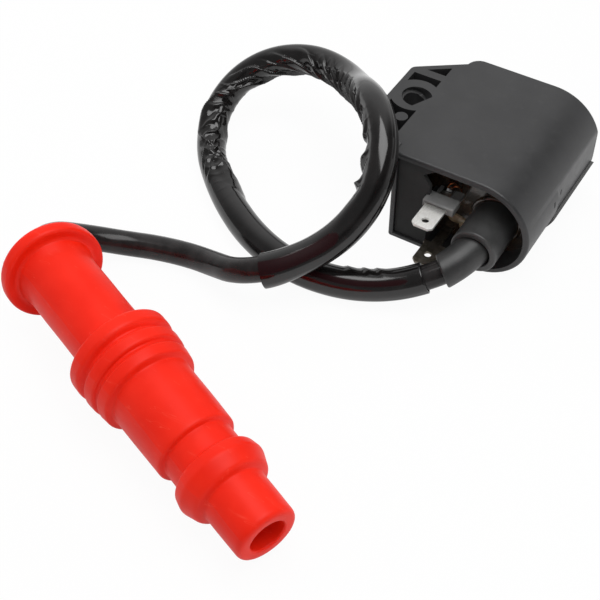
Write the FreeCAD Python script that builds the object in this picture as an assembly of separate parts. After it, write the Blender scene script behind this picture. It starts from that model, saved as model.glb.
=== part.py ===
import FreeCAD, Part
import math
import os

# Potted ignition coil with a side mounting lug, spade terminals, a high-tension
# lead in a loose vinyl sleeve and a straight silicone plug cap.
# Millimetres. X is the width, -Y the open potted face, +Z up.
# The origin is the middle of the housing's flat underside.

# housing
BODY_W = 41.4
BODY_D = 48.8
BODY_H = 31.0
WALL = 1.6
BACK_WALL = 1.8
BACK_CORNER = 4.2
FRONT_CORNER = 0.9
BACK_ROUND = 0.8
SIDE_FLAT_CUT = 1.0
SIDE_FLAT_LENGTH = 29.0
FOOT_RAIL = 0.8
FOOT_RAIL_LOW = 3.4
FOOT_RAIL_HIGH = 10.0

# mounting lug
LUG_REACH = 33.5
LUG_THICK = 12.0
LUG_HALF_TIP = 11.0
LUG_HALF_ROOT = 20.1
LUG_RIM = 1.7
LUG_ROOT_WALL = 2.6
LUG_FLOOR = 3.0
LUG_CORNER = 2.2
BOLT_X = -26.8
BOLT_R = 3.3
BOLT_RING_R = 6.9
RELIEF_R = 4.15
RELIEF_LEAN = 22.0
RELIEF_SHIFT = 0.8
RELIEF_DEPTH = 3.2
RIB_Y = 9.2
RIB_THICK = 2.8
POST_X = -25.9
POST_Y = -9.8
POST_R = 1.85
POST_DROP = 0.4

# potting and what stands in it
POT_RECESS = 8.0
FIT = 0.05
PLATE_SET_BACK = 0.8
PLATE_THICK = 1.5
PLATE_RIGHT = -9.2
PLATE_TOP_RIGHT = -6.9
NOTCH_X = -11.6
NOTCH_LOW = 22.8
NOTCH_MIDDLE = 26.0
BLOCK_LEFT = -10.2
BLOCK_W = 9.2
BLOCK_PROUD = 1.5
BLOCK_D = 4.6
BLOCK_TOP = 19.9
BLOCK_H = 2.5
BLOCK_LEDGE_H = 1.6
BLOCK_ROUND = 0.4

# spade terminals
BLADE_W = 6.3
BLADE_T = 0.8
BLADE_TIP_CUT = 1.1
BLADE_HOLE_R = 1.0
UPPER_HOLE_BACK = 3.0
LOWER_HOLE_BACK = 4.2
SHOULDER = 0.3
TAIL_W = 3.0
UPPER_X = -6.1
UPPER_Z = 18.6
UPPER_REACH = 10.4
LOWER_X = -5.7
LOWER_Z = 3.4
LOWER_REACH = 8.7
LOWER_ROOT_PROUD = 0.6
TAIL_DEPTH = 2.4

# high-tension tower
TOWER_X = 8.0
TOWER_DROP = 2.0
TOWER_R = 6.6
TOWER_REACH = 6.8
TOWER_ROUND = 0.6
TOWER_ROOT_DEPTH = 2.0
TOWER_FLANGE_R = 8.4
TOWER_FLANGE_T = 1.6
TOWER_FLOOR_IN = 0.4
BOOT_SEAT = 3.0
SPIKE_R = 0.9
SPIKE_REACH = 5.0
SPIKE_HEAD_R = 2.6
SPIKE_HEAD_T = 0.6

# windings
COIL_X = -3.4
COIL_END_GAP = 4.4
COIL_SIDE_GAP = 1.3
WINDING_SUNK = 0.7
SECONDARY_BUILD = 1.9
SECONDARY_WALL = 0.9
BOBBIN_GAP = 0.5
PRIMARY_BUILD = 1.6
BOBBIN_FLANGE = 1.0
CORE_COVER = 1.06
CORE_PLATES = 12
CORE_PROUD = 0.6
SECTIONS = 8
SECTION_WALL = 0.8
WIRE_R = 0.3
HT_WIRE_TURN = 18.0

# high-tension lead, its sleeve and the boot on the tower
LEAD_R = 3.5
CONDUCTOR_R = 0.9
SLEEVE_R = 4.5
SLEEVE_WALL = 0.8
BOOT_R = 4.8
SLEEVE_Z = 4.6
LEAD_Z = 3.6
HUMP_Z = 14.3
LEAD_STRAIGHT = 2.8
# places along the route: a corner is its number, and the run after it half more
BOOT_UNTIL = 1.6
SLEEVE_FROM = 2.4
SLEEVE_UNTIL = 23

# plug cap, measured along its own axis from the wire end
CAP_END = (-83.6, -95.0, 16.8)
CAP_YAW = -22.3
CAP_DIP = 3.67
CAP_LENGTH = 98.6
DISC_R = 14.0
DISC_T = 2.3
DISC_NECK = 8.3
REAR_R = 9.5
COLLAR_AT = 34.8
COLLAR_R = 14.3
COLLAR_T = 4.9
RING_R = 13.6
RING_T = 3.6
STEP_RING_R = 13.0
STEP_RING_T = 3.4
GROOVE_R = 12.2
GROOVE_T = 1.2
BARREL_R = 10.5
BARREL_END = 70.2
NECK_R = 9.2
BULGE_AT = 76.5
BULGE_R = 11.6
BULGE_T = 9.4
NOSE_R = 8.2
NOSE_ROUND = 1.8
MOUTH_R = 4.7
BODY_R = 6.3
BODY_AT = 5.0
BODY_END = 68.0
CHAMBER_R = 3.0
SCREW_HEAD_T = 1.6
SCREW_REACH = 5.0
RESISTOR_LENGTH = 20.0
SPRING_R = 2.3
SPRING_WIRE_R = 0.3
SPRING_TURNS = 7
SPRING_LENGTH = 26.0
CLIP_R = 4.2
CLIP_WALL = 0.6
CLIP_BASE = 1.2
CLIP_SLOT = 1.6

V = FreeCAD.Vector
LEFT = -BODY_W / 2
RIGHT = BODY_W / 2
FRONT = -BODY_D / 2
BACK = BODY_D / 2
SIDE_R = BODY_H / 2
POT_FACE = FRONT + POT_RECESS
BLOCK_FRONT = FRONT - BLOCK_PROUD
UPPER_TIP = FRONT - UPPER_REACH
LOWER_TIP = FRONT - LOWER_REACH
LOWER_ROOT = FRONT - LOWER_ROOT_PROUD
TOWER_ROOT = POT_FACE + TOWER_ROOT_DEPTH
TOWER_TIP = FRONT - TOWER_REACH
TOWER_FLOOR = FRONT + TOWER_FLOOR_IN
TOWER_Z = SIDE_R - TOWER_DROP
COIL_Z = SIDE_R
COIL_Y0 = POT_FACE + COIL_END_GAP
COIL_Y1 = BACK - COIL_END_GAP
SECTION_R = SIDE_R - WALL - COIL_SIDE_GAP
WINDING_R = SECTION_R - WINDING_SUNK
TUBE_R = WINDING_R - SECONDARY_BUILD
SECONDARY_BORE = TUBE_R - SECONDARY_WALL
BOBBIN_R = SECONDARY_BORE - BOBBIN_GAP - PRIMARY_BUILD
CORE_SIDE = (BOBBIN_R - CORE_COVER) * math.sqrt(2)

# the lead's corners, from the tower's floor to the plug cap
LEAD_ROUTE = [
    (TOWER_X, TOWER_FLOOR, TOWER_Z), (TOWER_X, TOWER_TIP - LEAD_STRAIGHT, TOWER_Z),
    (3.0, -40.0, 10.5), (-7.0, -46.5, 6.0), (-20.0, -52.0, SLEEVE_Z), (-36.0, -53.5, SLEEVE_Z),
    (-51.0, -48.5, SLEEVE_Z), (-63.0, -41.0, SLEEVE_Z), (-72.5, -33.0, SLEEVE_Z),
    (-81.0, -24.5, 5.0), (-86.0, -13.5, 9.5), (-84.5, -2.5, 15.5),
    (-77.0, 5.5, 20.5), (-64.5, 9.5, 23.0), (-52.0, 6.0, 24.0), (-43.0, -3.0, 28.5),
    (-36.5, -11.5, 35.5), (-28.5, -19.0, 38.0), (-21.5, -28.0, 35.0),
    (-18.5, -37.0, 28.0), (-21.5, -45.0, 19.0), (-27.0, -53.5, HUMP_Z),
    (-31.5, -61.0, HUMP_Z), (-37.5, -65.5, 12.8), (-45.0, -66.5, 9.4),
    (-52.5, -64.0, 5.6), (-61.5, -63.0, LEAD_Z), (-71.0, -65.2, LEAD_Z),
    (-80.0, -68.5, LEAD_Z), (-88.0, -74.0, 6.5), (-93.5, -82.5, 12.5),
    (-89.4, -92.6, 17.2), (-79.0, -96.9, 16.5),
]


def box(x0, x1, y0, y1, z0, z1):
    return Part.makeBox(x1 - x0, y1 - y0, z1 - z0, V(x0, y0, z0))


def rod(radius, y0, y1, x, z):
    return Part.makeCylinder(radius, y1 - y0, V(x, y0, z), V(0, 1, 0))


def ring(outer, inner, y0, y1):
    return rod(outer, y0, y1, COIL_X, COIL_Z).cut(rod(inner, y0, y1, COIL_X, COIL_Z))


def prism(points, z0, z1):
    corners = [V(x, y, z0) for x, y in points]
    return Part.Face(Part.makePolygon(corners + corners[:1])).extrude(V(0, 0, z1 - z0))


def upright_edges(shape, x, y):
    def at(vertex):
        return abs(vertex.X - x) < 0.01 and abs(vertex.Y - y) < 0.01
    return [e for e in shape.Edges if at(e.Vertexes[0]) and at(e.Vertexes[-1])]


def edges_at_y(shape, y):
    return [e for e in shape.Edges if all(abs(v.Y - y) < 0.01 for v in e.Vertexes)]


def export(name, shape):
    shape.exportStep("parts/" + name + ".step")
    print(name, "solids", len(shape.Solids), "valid", shape.isValid(), "mm3", round(shape.Volume, 1))


# housing and lug

def d_block(inset, y0, y1):
    # flat top, bottom and left side, with the whole right side a half round
    left = LEFT + inset
    low = inset
    high = BODY_H - inset
    turn_x = RIGHT - SIDE_R
    edges = [
        Part.LineSegment(V(left, y0, low), V(left, y0, high)).toShape(),
        Part.LineSegment(V(left, y0, high), V(turn_x, y0, high)).toShape(),
        Part.Arc(V(turn_x, y0, high), V(RIGHT - inset, y0, SIDE_R), V(turn_x, y0, low)).toShape(),
        Part.LineSegment(V(turn_x, y0, low), V(left, y0, low)).toShape(),
    ]
    return Part.Face(Part.Wire(edges)).extrude(V(0, y1 - y0, 0))


def lug_outline(inset):
    # the two flanks slope from the root at the housing's side to the flat tip
    slope = (LUG_HALF_ROOT - LUG_HALF_TIP) / (LUG_REACH + LEFT)
    drop = inset * math.hypot(1, slope)
    overlap = 4.0
    tip = -LUG_REACH + inset
    half_tip = LUG_HALF_TIP + slope * inset - drop
    half_root = LUG_HALF_ROOT - drop + slope * overlap
    root = LEFT + overlap
    return [(tip, -half_tip), (root, -half_root), (root, half_root), (tip, half_tip)]


def make_lug():
    bottom = BODY_H - LUG_THICK
    outline = lug_outline(0)
    lug = prism(outline, bottom, BODY_H)
    tip, half_tip = outline[-1]
    lug = lug.makeFillet(LUG_CORNER, upright_edges(lug, tip, half_tip) + upright_edges(lug, tip, -half_tip))
    pocket = prism(lug_outline(LUG_RIM), bottom + LUG_FLOOR, BODY_H + 1)
    root_wall = box(LEFT - LUG_ROOT_WALL, 0, FRONT, BACK, 0, BODY_H + 2)
    boss = Part.makeCylinder(BOLT_RING_R, BODY_H, V(BOLT_X, 0, bottom))
    rib = box(-LUG_REACH, LEFT, RIB_Y, RIB_Y + RIB_THICK, bottom, BODY_H + 2)
    post = Part.makeCylinder(POST_R, LUG_THICK - POST_DROP, V(POST_X, POST_Y, bottom))
    return lug.cut(pocket.cut(root_wall.fuse([boss, rib]))).fuse(post)


def make_relief():
    # leaning scoop at the top of the bolt hole, on the housing's side
    lean = math.radians(RELIEF_LEAN)
    direction = V(-math.sin(lean), math.sin(lean) / 2, -math.cos(lean))
    start = V(BOLT_X + RELIEF_SHIFT, -RELIEF_SHIFT / 2, BODY_H) - direction
    return Part.makeCylinder(RELIEF_R, RELIEF_DEPTH + 1, start, direction)


def make_housing():
    shell = d_block(0, FRONT, BACK)
    shell = shell.makeFillet(BACK_CORNER, upright_edges(shell, LEFT, BACK))
    shell = shell.makeFillet(FRONT_CORNER, upright_edges(shell, LEFT, FRONT))
    shell = shell.makeFillet(BACK_ROUND, edges_at_y(shell, BACK))
    flat_front = BACK - SIDE_FLAT_LENGTH
    shell = shell.cut(box(RIGHT - SIDE_FLAT_CUT, RIGHT + 1, flat_front, BACK + 1, FOOT_RAIL_HIGH, BODY_H))
    rail = d_block(-FOOT_RAIL, flat_front, BACK - BACK_ROUND)
    rail = rail.common(box(RIGHT - SIDE_R, RIGHT + 2, FRONT, BACK, FOOT_RAIL_LOW, FOOT_RAIL_HIGH))
    shell = shell.fuse([rail, make_lug()])
    shell = shell.cut(d_block(WALL, FRONT - 1, BACK - BACK_WALL))
    bolt = Part.makeCylinder(BOLT_R, BODY_H, V(BOLT_X, 0, 0))
    return shell.cut([bolt, make_relief()]).removeSplitter()


# terminals and the front of the housing

def blade(x, z, tip, root, hole_back):
    half = BLADE_W / 2
    tail = TAIL_W / 2
    wide = half + SHOULDER
    tail_end = POT_FACE + TAIL_DEPTH
    right_side = [
        (half - BLADE_TIP_CUT, tip), (half, tip + BLADE_TIP_CUT), (half, root), (wide, root),
        (wide, root + 1), (tail, root + 1), (tail, tail_end),
    ]
    outline = right_side + [(-across, along) for across, along in reversed(right_side)]
    plate = prism([(x + across, along) for across, along in outline], z - BLADE_T / 2, z + BLADE_T / 2)
    return plate.cut(Part.makeCylinder(BLADE_HOLE_R, BODY_H, V(x, tip + hole_back, 0)))


def make_block(upper):
    low = BLOCK_TOP - BLOCK_H
    right = BLOCK_LEFT + BLOCK_W
    head = box(BLOCK_LEFT, right, BLOCK_FRONT, BLOCK_FRONT + BLOCK_D, low, BLOCK_TOP)
    head = head.makeFillet(BLOCK_ROUND, edges_at_y(head, BLOCK_FRONT))
    bed_low = UPPER_Z - BLADE_T / 2 - BLOCK_LEDGE_H
    bed = box(BLOCK_LEFT + 1, right - 1, BLOCK_FRONT + 1, POT_FACE + 1, bed_low, UPPER_Z - BLADE_T / 2)
    return head.fuse(bed).removeSplitter().cut(upper)


def make_solder(upper):
    bead = Part.makeSphere(TAIL_W / 2, V(UPPER_X, POT_FACE - TAIL_W / 2, UPPER_Z + BLADE_T / 2))
    return bead.common(box(LEFT, RIGHT, FRONT, BACK, UPPER_Z + BLADE_T / 2, BODY_H))


def make_plate(block, lower):
    y0 = FRONT + PLATE_SET_BACK
    left = LEFT + WALL + FIT
    low = WALL + FIT
    high = BODY_H - WALL - FIT
    outline = [
        (left, low), (PLATE_RIGHT, low), (PLATE_RIGHT, NOTCH_LOW), (NOTCH_X, NOTCH_MIDDLE),
        (PLATE_TOP_RIGHT, high), (left, high),
    ]
    corners = [V(x, y0, z) for x, z in outline]
    face = Part.Face(Part.makePolygon(corners + corners[:1])).extrude(V(0, PLATE_THICK, 0))
    web = box(PLATE_RIGHT - PLATE_THICK, PLATE_RIGHT, y0, POT_FACE + 1, low, BLOCK_TOP - BLOCK_H)
    return face.fuse(web).cut([block, lower]).removeSplitter()


# high-tension tower

def make_tower():
    outer = rod(TOWER_R, TOWER_TIP, TOWER_ROOT, TOWER_X, TOWER_Z)
    outer = outer.makeFillet(TOWER_ROUND, edges_at_y(outer, TOWER_TIP))
    flange = rod(TOWER_FLANGE_R, TOWER_ROOT, TOWER_ROOT + TOWER_FLANGE_T, TOWER_X, TOWER_Z)
    lead_bore = rod(LEAD_R, TOWER_TIP - 1, TOWER_FLOOR, TOWER_X, TOWER_Z)
    boot_bore = rod(BOOT_R, TOWER_TIP - 1, TOWER_TIP + BOOT_SEAT, TOWER_X, TOWER_Z)
    spike_bore = rod(SPIKE_R, TOWER_FLOOR - 1, BACK, TOWER_X, TOWER_Z)
    return outer.fuse(flange).cut([lead_bore, boot_bore, spike_bore]).removeSplitter()


def make_spike():
    end = TOWER_ROOT + TOWER_FLANGE_T
    pin = rod(SPIKE_R, TOWER_FLOOR - SPIKE_REACH, end, TOWER_X, TOWER_Z)
    point_at = V(TOWER_X, TOWER_FLOOR - SPIKE_REACH - 2 * SPIKE_R, TOWER_Z)
    point = Part.makeCone(0, SPIKE_R, 2 * SPIKE_R, point_at, V(0, 1, 0))
    head = rod(SPIKE_HEAD_R, end, end + SPIKE_HEAD_T, TOWER_X, TOWER_Z)
    return pin.fuse([point, head]).removeSplitter()


# core and windings

def make_core():
    pitch = CORE_SIDE / CORE_PLATES
    left = COIL_X - CORE_SIDE / 2
    low = COIL_Z - CORE_SIDE / 2
    plates = []
    for number in range(CORE_PLATES):
        z = low + number * pitch
        plates.append(box(left, left + CORE_SIDE, COIL_Y0 - CORE_PROUD, COIL_Y1 + CORE_PROUD, z, z + pitch))
    return Part.makeCompound(plates)


def make_primary(wires):
    inner0 = COIL_Y0 + BOBBIN_FLANGE
    inner1 = COIL_Y1 - BOBBIN_FLANGE
    flange_r = BOBBIN_R + PRIMARY_BUILD + FIT
    spool = rod(BOBBIN_R, COIL_Y0, COIL_Y1, COIL_X, COIL_Z)
    spool = spool.fuse([
        rod(flange_r, COIL_Y0, inner0, COIL_X, COIL_Z),
        rod(flange_r, inner1, COIL_Y1, COIL_X, COIL_Z),
    ])
    half = CORE_SIDE / 2
    core_room = box(COIL_X - half, COIL_X + half, FRONT, BACK, COIL_Z - half, COIL_Z + half)
    spool = spool.removeSplitter().cut([core_room, wires])
    return spool, ring(BOBBIN_R + PRIMARY_BUILD, BOBBIN_R, inner0, inner1)


def make_secondary(wire):
    slot = (COIL_Y1 - COIL_Y0 - SECTION_WALL * (SECTIONS + 1)) / SECTIONS
    spool = rod(TUBE_R, COIL_Y0, COIL_Y1, COIL_X, COIL_Z)
    walls = []
    coils = []
    for number in range(SECTIONS + 1):
        y = COIL_Y0 + number * (slot + SECTION_WALL)
        walls.append(rod(SECTION_R, y, y + SECTION_WALL, COIL_X, COIL_Z))
        if number < SECTIONS:
            coils.append(ring(WINDING_R, TUBE_R, y + SECTION_WALL, y + SECTION_WALL + slot))
    spool = spool.fuse(walls).removeSplitter()
    spool = spool.cut([rod(SECONDARY_BORE, FRONT, BACK, COIL_X, COIL_Z), wire])
    return spool, Part.makeCompound(coils)


def wire_run(points):
    wire = Part.makePolygon([V(*p) for p in points])
    first = V(*points[1]) - V(*points[0])
    section = Part.Wire(Part.makeCircle(WIRE_R, V(*points[0]), first))
    return wire.makePipeShell([section], True, False, 1)


def make_wires():
    y = POT_FACE + TAIL_DEPTH + 2 * WIRE_R
    end = COIL_Y0 + BOBBIN_FLANGE
    reach = BOBBIN_R + PRIMARY_BUILD / 2
    upper_z = COIL_Z + math.sqrt(reach ** 2 - (UPPER_X - COIL_X) ** 2)
    lower_z = COIL_Z - math.sqrt(reach ** 2 - (LOWER_X - COIL_X) ** 2)
    upper = wire_run([(UPPER_X, y, UPPER_Z), (UPPER_X, y, upper_z), (UPPER_X, end, upper_z)])
    lower = wire_run([(LOWER_X, y, LOWER_Z), (LOWER_X, y, lower_z), (LOWER_X, end, lower_z)])
    return Part.makeCompound([upper, lower])


def make_ht_wire():
    reach = (TUBE_R + WINDING_R) / 2
    x = COIL_X + reach * math.cos(math.radians(HT_WIRE_TURN))
    z = COIL_Z + reach * math.sin(math.radians(HT_WIRE_TURN))
    y = TOWER_ROOT + TOWER_FLANGE_T + WIRE_R + FIT
    start_z = TOWER_Z + SPIKE_HEAD_R
    return wire_run([(x, y, start_z), (x, y, z), (x, COIL_Y0 + SECTION_WALL, z)])


def make_resin(cuts):
    block = d_block(WALL, POT_FACE, BACK - BACK_WALL)
    coil_room = rod(SECTION_R, COIL_Y0, COIL_Y1, COIL_X, COIL_Z)
    half = CORE_SIDE / 2
    core_room = box(COIL_X - half, COIL_X + half, COIL_Y0 - CORE_PROUD, COIL_Y1 + CORE_PROUD,
                    COIL_Z - half, COIL_Z + half)
    return block.cut([coil_room, core_room] + cuts)


# lead, sleeve and boot

def route_edges():
    # straight runs joined by tangent arcs, each arc in two halves, with the corner it belongs to
    points = [V(*p) for p in LEAD_ROUTE]
    edges = []
    radii = []
    start = points[0]
    for number in range(1, len(points) - 1):
        before = points[number] - points[number - 1]
        after = points[number + 1] - points[number]
        half_turn = before.getAngle(after) / 2
        shorter = min(before.Length, after.Length)
        radius = 0.45 * shorter / math.tan(half_turn)
        radii.append(round(radius, 1))
        before.normalize()
        after.normalize()
        enter = points[number] - before * (0.45 * shorter)
        leave = points[number] + after * (0.45 * shorter)
        inward = after - before
        inward.normalize()
        centre = points[number] + inward * (radius / math.cos(half_turn))
        middle = centre - inward * radius

        def on_arc(toward):
            spoke = toward - centre
            spoke.normalize()
            return centre + spoke * radius
        quarter = on_arc((enter + middle) * 0.5)
        three_quarter = on_arc((middle + leave) * 0.5)
        edges.append((number - 0.5, Part.LineSegment(start, enter).toShape()))
        edges.append((number - 0.25, Part.Arc(enter, quarter, middle).toShape()))
        edges.append((number + 0.25, Part.Arc(middle, three_quarter, leave).toShape()))
        start = leave
    edges.append((len(points) - 1.5, Part.LineSegment(start, points[-1]).toShape()))
    print("bend radii", radii)
    return edges


def swept(edges, first, last, radius):
    part = [edge for place, edge in edges if first < place < last]
    spine = Part.Wire(part)
    direction = part[0].tangentAt(part[0].FirstParameter)
    section = Part.Wire(Part.makeCircle(radius, part[0].Vertexes[0].Point, direction))
    solid = spine.makePipeShell([section], True, False)
    print("swept length", round(spine.Length, 1), "volume ratio",
          round(solid.Volume / (math.pi * radius ** 2 * spine.Length), 4))
    return solid


# plug cap, built along +X and then laid at its place

def laid(shape):
    place = FreeCAD.Placement(V(*CAP_END), FreeCAD.Rotation(CAP_YAW, CAP_DIP, 0))
    shape.Placement = place.multiply(shape.Placement)
    return shape


def cap_rod(radius, start, end):
    return Part.makeCylinder(radius, end - start, V(start, 0, 0), V(1, 0, 0))


def turned(outline):
    # each entry is a point, or a pair of points for an arc through the first to the second
    edges = []
    here = outline[0]
    for step in outline[1:] + outline[:1]:
        if isinstance(step[0], tuple):
            via, to = step
            edges.append(Part.Arc(V(here[0], 0, here[1]), V(via[0], 0, via[1]), V(to[0], 0, to[1])).toShape())
        else:
            to = step
            edges.append(Part.LineSegment(V(here[0], 0, here[1]), V(to[0], 0, to[1])).toShape())
        here = to
    return Part.Face(Part.Wire(edges)).revolve(V(0, 0, 0), V(1, 0, 0), 360)


def make_cap_boot():
    ring_at = COLLAR_AT + COLLAR_T + GROOVE_T
    step_at = ring_at + RING_T + GROOVE_T
    step_end = step_at + STEP_RING_T
    bulge_end = BULGE_AT + BULGE_T
    nose_turn = CAP_LENGTH - NOSE_ROUND
    outline = [
        (0, LEAD_R), (0, DISC_R - 2), ((0.3, DISC_R - 0.7), (1.3, DISC_R)), (DISC_T, DISC_R - 0.1),
        ((DISC_T + 1.4, DISC_R - 0.6), (DISC_T + 2, DISC_R - 2)), (DISC_NECK - 2, DISC_R - 2.9),
        (DISC_NECK, REAR_R), (COLLAR_AT, REAR_R), (COLLAR_AT, COLLAR_R - 1.2),
        ((COLLAR_AT + 0.5, COLLAR_R - 0.3), (COLLAR_AT + 1.4, COLLAR_R)),
        (COLLAR_AT + COLLAR_T - 1, COLLAR_R - 0.15),
        (COLLAR_AT + COLLAR_T, COLLAR_R - 1), (COLLAR_AT + COLLAR_T, GROOVE_R), (ring_at, GROOVE_R),
        (ring_at + 0.4, RING_R), (ring_at + RING_T - 0.4, RING_R - 0.3), (ring_at + RING_T, GROOVE_R),
        (step_at, GROOVE_R), (step_at + 0.3, STEP_RING_R), (step_end - 0.8, STEP_RING_R - 0.6),
        ((step_end + 1, GROOVE_R - 0.4), (step_end + 2, BARREL_R)), (BARREL_END, BARREL_R),
        (BARREL_END + 0.4, NECK_R), (BULGE_AT, NECK_R),
        ((BULGE_AT + 3.6, BULGE_R), (bulge_end, NOSE_R)), (nose_turn, NOSE_R - 0.1),
        ((CAP_LENGTH - 0.5, NOSE_R - 0.7), (CAP_LENGTH, NOSE_R - 2.2)), (CAP_LENGTH, MOUTH_R),
        (BODY_END, MOUTH_R), (BODY_END, BODY_R), (BODY_AT, BODY_R), (BODY_AT, LEAD_R),
    ]
    return turned(outline)


def make_cap_inside():
    head_end = BODY_AT + SCREW_HEAD_T
    resistor_end = head_end + RESISTOR_LENGTH
    spring_end = resistor_end + SPRING_LENGTH
    body = cap_rod(BODY_R, BODY_AT, BODY_END)
    body = body.cut([cap_rod(CHAMBER_R, BODY_AT, BODY_END), cap_rod(CLIP_R, spring_end, BODY_END)])
    screw = cap_rod(CHAMBER_R, BODY_AT, head_end).fuse(cap_rod(CONDUCTOR_R, BODY_AT - SCREW_REACH, BODY_AT))
    resistor = cap_rod(CHAMBER_R - FIT, head_end, resistor_end)
    pitch = (SPRING_LENGTH - 2 * SPRING_WIRE_R) / SPRING_TURNS
    helix = Part.makeHelix(pitch, SPRING_LENGTH - 2 * SPRING_WIRE_R, SPRING_R)
    section = Part.Wire(Part.makeCircle(SPRING_WIRE_R, V(SPRING_R, 0, 0), V(0, 1, 0)))
    spring = Part.Wire(helix).makePipeShell([section], True, True)
    spring.Placement = FreeCAD.Placement(
        V(resistor_end + SPRING_WIRE_R, 0, 0), FreeCAD.Rotation(V(0, 1, 0), 90))
    clip = cap_rod(CLIP_R, spring_end, BODY_END)
    clip = clip.cut(cap_rod(CLIP_R - CLIP_WALL, spring_end + CLIP_BASE, BODY_END))
    slot_room = BODY_END - spring_end
    for across in (0, 90):
        slot = Part.makeBox(slot_room, 2 * CLIP_R + 2, CLIP_SLOT,
                            V(spring_end + 3 * CLIP_BASE, -CLIP_R - 1, -CLIP_SLOT / 2))
        slot.rotate(V(0, 0, 0), V(1, 0, 0), across)
        clip = clip.cut(slot)
    return body, screw.removeSplitter(), resistor, spring, clip


os.makedirs("parts", exist_ok=True)

upper = blade(UPPER_X, UPPER_Z, UPPER_TIP, BLOCK_FRONT, UPPER_HOLE_BACK)
lower = blade(LOWER_X, LOWER_Z, LOWER_TIP, LOWER_ROOT, LOWER_HOLE_BACK)
block = make_block(upper)
plate = make_plate(block, lower)
tower = make_tower()
spike = make_spike()
wires = make_wires()
ht_wire = make_ht_wire()
primary_bobbin, primary_winding = make_primary(wires)
secondary_bobbin, secondary_winding = make_secondary(ht_wire)
resin = make_resin([upper, lower, block, plate, tower, spike, wires, ht_wire])

edges = route_edges()
last_place = len(LEAD_ROUTE)
lead = swept(edges, 0, last_place, LEAD_R)
conductor = swept(edges, 0, last_place, CONDUCTOR_R)
sleeve = swept(edges, SLEEVE_FROM, SLEEVE_UNTIL, SLEEVE_R)
sleeve = sleeve.cut(swept(edges, SLEEVE_FROM, SLEEVE_UNTIL, SLEEVE_R - SLEEVE_WALL))
tower_boot = swept(edges, 0, BOOT_UNTIL, BOOT_R)
tower_boot = tower_boot.cut(swept(edges, 0, BOOT_UNTIL, LEAD_R))
tower_boot = tower_boot.cut(box(LEFT, RIGHT, TOWER_TIP + BOOT_SEAT, BACK, 0, BODY_H))

cap_body, cap_screw, cap_resistor, cap_spring, cap_clip = [laid(s) for s in make_cap_inside()]
lead = lead.cut(conductor)
conductor = conductor.cut([spike, cap_screw])

export("housing", make_housing())
export("front_plate", plate)
export("terminal_block", block)
export("primary_terminal", upper)
export("ground_terminal", lower)
export("solder_joint", make_solder(upper))
export("potting_resin", resin)
export("hv_tower", tower)
export("hv_spike", spike)
export("core_laminations", make_core())
export("primary_bobbin", primary_bobbin)
export("primary_winding", primary_winding)
export("primary_wires", wires)
export("secondary_bobbin", secondary_bobbin)
export("secondary_winding", secondary_winding)
export("ht_wire", ht_wire)
export("tower_boot", tower_boot)
export("lead_insulation", lead)
export("lead_conductor", conductor)
export("lead_sleeve", sleeve)
export("cap_boot", laid(make_cap_boot()))
export("cap_body", cap_body)
export("cap_wire_screw", cap_screw)
export("cap_resistor", cap_resistor)
export("cap_spring", cap_spring)
export("cap_contact_clip", cap_clip)
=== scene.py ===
import math
import bmesh
import bpy
import numpy as np
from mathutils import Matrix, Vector


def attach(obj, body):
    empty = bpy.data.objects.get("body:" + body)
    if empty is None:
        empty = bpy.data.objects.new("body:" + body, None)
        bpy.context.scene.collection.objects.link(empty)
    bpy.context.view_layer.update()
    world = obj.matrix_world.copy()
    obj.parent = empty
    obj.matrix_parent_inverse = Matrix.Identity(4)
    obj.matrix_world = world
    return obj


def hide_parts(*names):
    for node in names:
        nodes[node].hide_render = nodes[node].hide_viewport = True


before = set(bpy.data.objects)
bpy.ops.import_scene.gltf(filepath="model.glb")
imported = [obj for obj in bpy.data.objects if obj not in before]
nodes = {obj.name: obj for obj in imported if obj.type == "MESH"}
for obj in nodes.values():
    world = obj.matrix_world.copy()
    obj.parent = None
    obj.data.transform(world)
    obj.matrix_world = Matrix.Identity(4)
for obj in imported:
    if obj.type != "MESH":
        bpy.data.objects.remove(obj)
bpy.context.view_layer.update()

mm = 0.001


def smoothStep(low, high, x):
    t = np.clip((x - low) / (high - low), 0.0, 1.0)
    return t * t * (3 - 2 * t)


def unit(vectors):
    return vectors / np.linalg.norm(vectors, axis=-1, keepdims=True)


def turnsOf(count):
    # angles round a ring of count points, as one row
    return (np.arange(count) / count * 2 * math.pi)[None, :]


def ringsOf(side, up, turn):
    # unit vectors round each station: sideways times the cosine plus up times the sine
    return side[:, None, :] * np.cos(turn)[..., None] + up[:, None, :] * np.sin(turn)[..., None]


def wrapped(angle):
    # the same angle between minus and plus half a turn
    return np.angle(np.exp(1j * angle))


def bandFaces(first, second, count):
    # quads from the ring that starts at point first to the ring that starts at point second
    j = np.arange(count)
    k = (j + 1) % count
    return np.stack([first + j, second + j, second + k, first + k], -1)


def gridFaces(rings, count):
    # quads between neighbouring rings of count points
    i, j = np.meshgrid(np.arange(rings - 1), np.arange(count), indexing="ij")
    k = (j + 1) % count
    corners = [i * count + j, i * count + k, (i + 1) * count + k, (i + 1) * count + j]
    return np.stack(corners, -1).reshape(-1, 4)


def quadratic(a, b, c, t):
    # a curve from a to c that leaves towards b
    return (1 - t) ** 2 * a + 2 * t * (1 - t) * b + t ** 2 * c


def turnOutwards(piece, fillHoles=False):
    # points every face outwards, after closing the open rings where fillHoles is set
    work = bmesh.new()
    work.from_mesh(piece.data)
    if fillHoles:
        bmesh.ops.holes_fill(work, edges=[edge for edge in work.edges if edge.is_boundary])
    bmesh.ops.recalc_face_normals(work, faces=work.faces)
    work.to_mesh(piece.data)
    work.free()


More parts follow.
